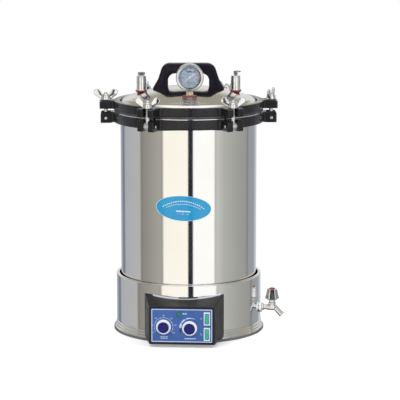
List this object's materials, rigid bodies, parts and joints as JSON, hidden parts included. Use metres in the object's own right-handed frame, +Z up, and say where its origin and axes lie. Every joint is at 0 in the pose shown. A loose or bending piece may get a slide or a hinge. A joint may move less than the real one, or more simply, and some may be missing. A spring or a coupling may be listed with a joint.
{
  "type": "portable pressure steam steriliser",
  "caption": "Portable electric autoclave: steel pressure vessel with a domed lid held by swing-bolt clamps, pressure gauge, relief valves, drain tap and a timer control box.",
  "frame": {"origin": "on the vessel's axis, at the level that the rubber foot ring rests on", "axes": "+Z up the vessel's axis, the control panel faces -Y, the tap points to +X"},
  "size_m": [0.3969, 0.3851, 0.571],
  "materials": {
    "polished_steel": "mirror polished stainless steel",
    "sheet_steel": "satin stainless sheet",
    "zinc_steel": "zinc plated",
    "black_casting": "black enamelled casting",
    "chrome": "bright chrome plate",
    "brass": "polished brass",
    "silicone": "pale silicone",
    "red_silicone": "dull red silicone",
    "black_rubber": "black rubber",
    "black_bakelite": "black phenolic moulding",
    "black_plastic": "fine textured black plastic",
    "blue_panel": "blue printed plate",
    "white_plastic": "white plastic",
    "pale_knob": "pale knob with a navy grip",
    "green_lens": "green translucent plastic",
    "red_plastic": "red plastic button",
    "clear_glass": "clear glass",
    "dial_face": "printed blue-grey dial",
    "white_paint": "white pointer",
    "unit_plastic": "pale phenolic",
    "insulation": "brown insulation"
  },
  "bodies": {
    "root": {"base_skirt": "sheet_steel", "base_pan": "zinc_steel", "foot_ring": "black_rubber", "vessel_legs": "zinc_steel", "machine_screws": "zinc_steel", "vessel": "polished_steel", "lower_clamp_ring": "black_casting", "upper_clamp_ring": "black_casting", "clamp_pins": "zinc_steel", "lid_seal": "silicone", "lid_dome": "polished_steel", "handle": "black_bakelite", "fitting_gaskets": "red_silicone", "gauge_stem": "brass", "gauge_case": "chrome", "gauge_bezel": "chrome", "gauge_glass": "clear_glass", "gauge_dial": "dial_face", "gauge_movement": "brass", "safety_valve_body": "chrome", "safety_valve_spring": "sheet_steel", "vent_valve_body": "chrome", "heating_element": "sheet_steel", "lock_nuts": "chrome", "support_shelf": "sheet_steel", "basket": "sheet_steel", "steam_pipe": "sheet_steel", "drain_pipe": "chrome", "tap_body": "chrome", "control_box": "black_plastic", "panel_plate": "blue_panel", "timer_unit": "unit_plastic", "thermostat_unit": "unit_plastic", "indicator_lamp": "green_lens", "switch_frames": "white_plastic", "cable_gland": "black_plastic", "sensor_probe": "chrome", "wiring": "insulation"},
    "clamp_1": {"swing_bolt_1": "chrome"},
    "nut_1": {"wing_nut_1": "chrome"},
    "clamp_2": {"swing_bolt_2": "chrome"},
    "nut_2": {"wing_nut_2": "chrome"},
    "clamp_3": {"swing_bolt_3": "chrome"},
    "nut_3": {"wing_nut_3": "chrome"},
    "clamp_4": {"swing_bolt_4": "chrome"},
    "nut_4": {"wing_nut_4": "chrome"},
    "clamp_5": {"swing_bolt_5": "chrome"},
    "nut_5": {"wing_nut_5": "chrome"},
    "clamp_6": {"swing_bolt_6": "chrome"},
    "nut_6": {"wing_nut_6": "chrome"},
    "needle": {"gauge_needle": "white_paint"},
    "safety_plunger": {"safety_valve_stem": "chrome"},
    "vent_plunger": {"vent_valve_stem": "chrome"},
    "vent_lever": {"vent_valve_lever": "chrome"},
    "timer_dial": {"timer_knob": "pale_knob"},
    "temperature_dial": {"temperature_knob": "pale_knob"},
    "upper_switch": {"upper_rocker": "green_lens"},
    "lower_switch": {"lower_rocker": "green_lens"},
    "tap_handle": {"tap_knob": "chrome", "tap_cap": "red_plastic"}
  },
  "joints": [
    {"name": "clamp_swing_1", "type": "hinge", "parent": "root", "child": "clamp_1", "pos_m": [0.17192, 0.0051, 0.4475], "axis": [-0.0297, 0.9996, 0], "range_deg": [0, 165]},
    {"name": "nut_spin_1", "type": "hinge", "parent": "clamp_1", "child": "nut_1", "pos_m": [0.17192, 0.0051, 0.4842], "axis": [0, 0, 1], "continuous": true},
    {"name": "clamp_swing_2", "type": "hinge", "parent": "root", "child": "clamp_2", "pos_m": [0.08154, 0.15144, 0.4475], "axis": [-0.8805, 0.4741, 0], "range_deg": [0, 165]},
    {"name": "nut_spin_2", "type": "hinge", "parent": "clamp_2", "child": "nut_2", "pos_m": [0.08154, 0.15144, 0.4842], "axis": [0, 0, 1], "continuous": true},
    {"name": "clamp_swing_3", "type": "hinge", "parent": "root", "child": "clamp_3", "pos_m": [-0.09038, 0.14634, 0.4475], "axis": [-0.8508, -0.5255, 0], "range_deg": [0, 165]},
    {"name": "nut_spin_3", "type": "hinge", "parent": "clamp_3", "child": "nut_3", "pos_m": [-0.09038, 0.14634, 0.4842], "axis": [0, 0, 1], "continuous": true},
    {"name": "clamp_swing_4", "type": "hinge", "parent": "root", "child": "clamp_4", "pos_m": [-0.17192, -0.0051, 0.4475], "axis": [0.0297, -0.9996, 0], "range_deg": [0, 165]},
    {"name": "nut_spin_4", "type": "hinge", "parent": "clamp_4", "child": "nut_4", "pos_m": [-0.17192, -0.0051, 0.4842], "axis": [0, 0, 1], "continuous": true},
    {"name": "clamp_swing_5", "type": "hinge", "parent": "root", "child": "clamp_5", "pos_m": [-0.08154, -0.15144, 0.4475], "axis": [0.8805, -0.4741, 0], "range_deg": [0, 165]},
    {"name": "nut_spin_5", "type": "hinge", "parent": "clamp_5", "child": "nut_5", "pos_m": [-0.08154, -0.15144, 0.4842], "axis": [0, 0, 1], "continuous": true},
    {"name": "clamp_swing_6", "type": "hinge", "parent": "root", "child": "clamp_6", "pos_m": [0.09038, -0.14634, 0.4475], "axis": [0.8508, 0.5255, 0], "range_deg": [0, 165]},
    {"name": "nut_spin_6", "type": "hinge", "parent": "clamp_6", "child": "nut_6", "pos_m": [0.09038, -0.14634, 0.4842], "axis": [0, 0, 1], "continuous": true},
    {"name": "gauge_needle_turn", "type": "hinge", "parent": "root", "child": "needle", "pos_m": [0.00291, -0.09796, 0.5415], "axis": [-0.0297, 0.9996, 0], "range_deg": [0, 270], "stiffness_Nm_per_rad": 0.0005},
    {"name": "safety_valve_lift", "type": "slide", "parent": "root", "child": "safety_plunger", "axis": [0, 0, 1], "range_m": [0, 0.0025], "stiffness_N_per_m": 800, "springref_m": -0.004, "deforming": ["safety_valve_spring"]},
    {"name": "vent_valve_lift", "type": "slide", "parent": "root", "child": "vent_plunger", "axis": [0, 0, 1], "range_m": [0, 0.002]},
    {"name": "vent_lever_flip", "type": "hinge", "parent": "vent_plunger", "child": "vent_lever", "pos_m": [0.09796, 0.00291, 0.53823], "axis": [0.0297, -0.9996, 0], "range_deg": [0, 90]},
    {"name": "timer_turn", "type": "hinge", "parent": "root", "child": "timer_dial", "pos_m": [-0.04997, -0.19401, 0.04425], "axis": [0.0663, 0.9978, 0], "range_deg": [0, 300]},
    {"name": "temperature_turn", "type": "hinge", "parent": "root", "child": "temperature_dial", "pos_m": [0.00292, -0.19753, 0.04205], "axis": [0.0663, 0.9978, 0], "range_deg": [0, 270]},
    {"name": "upper_switch_tilt", "type": "hinge", "parent": "root", "child": "upper_switch", "pos_m": [0.03794, -0.19825, 0.06185], "axis": [0.9978, -0.0663, 0], "range_deg": [0, 18]},
    {"name": "lower_switch_tilt", "type": "hinge", "parent": "root", "child": "lower_switch", "pos_m": [0.03794, -0.19825, 0.02985], "axis": [0.9978, -0.0663, 0], "range_deg": [0, 18]},
    {"name": "tap_turn", "type": "hinge", "parent": "root", "child": "tap_handle", "pos_m": [0.17509, -0.03722, 0.0655], "axis": [0, 0, 1], "range_deg": [0, 360]}
  ]
}
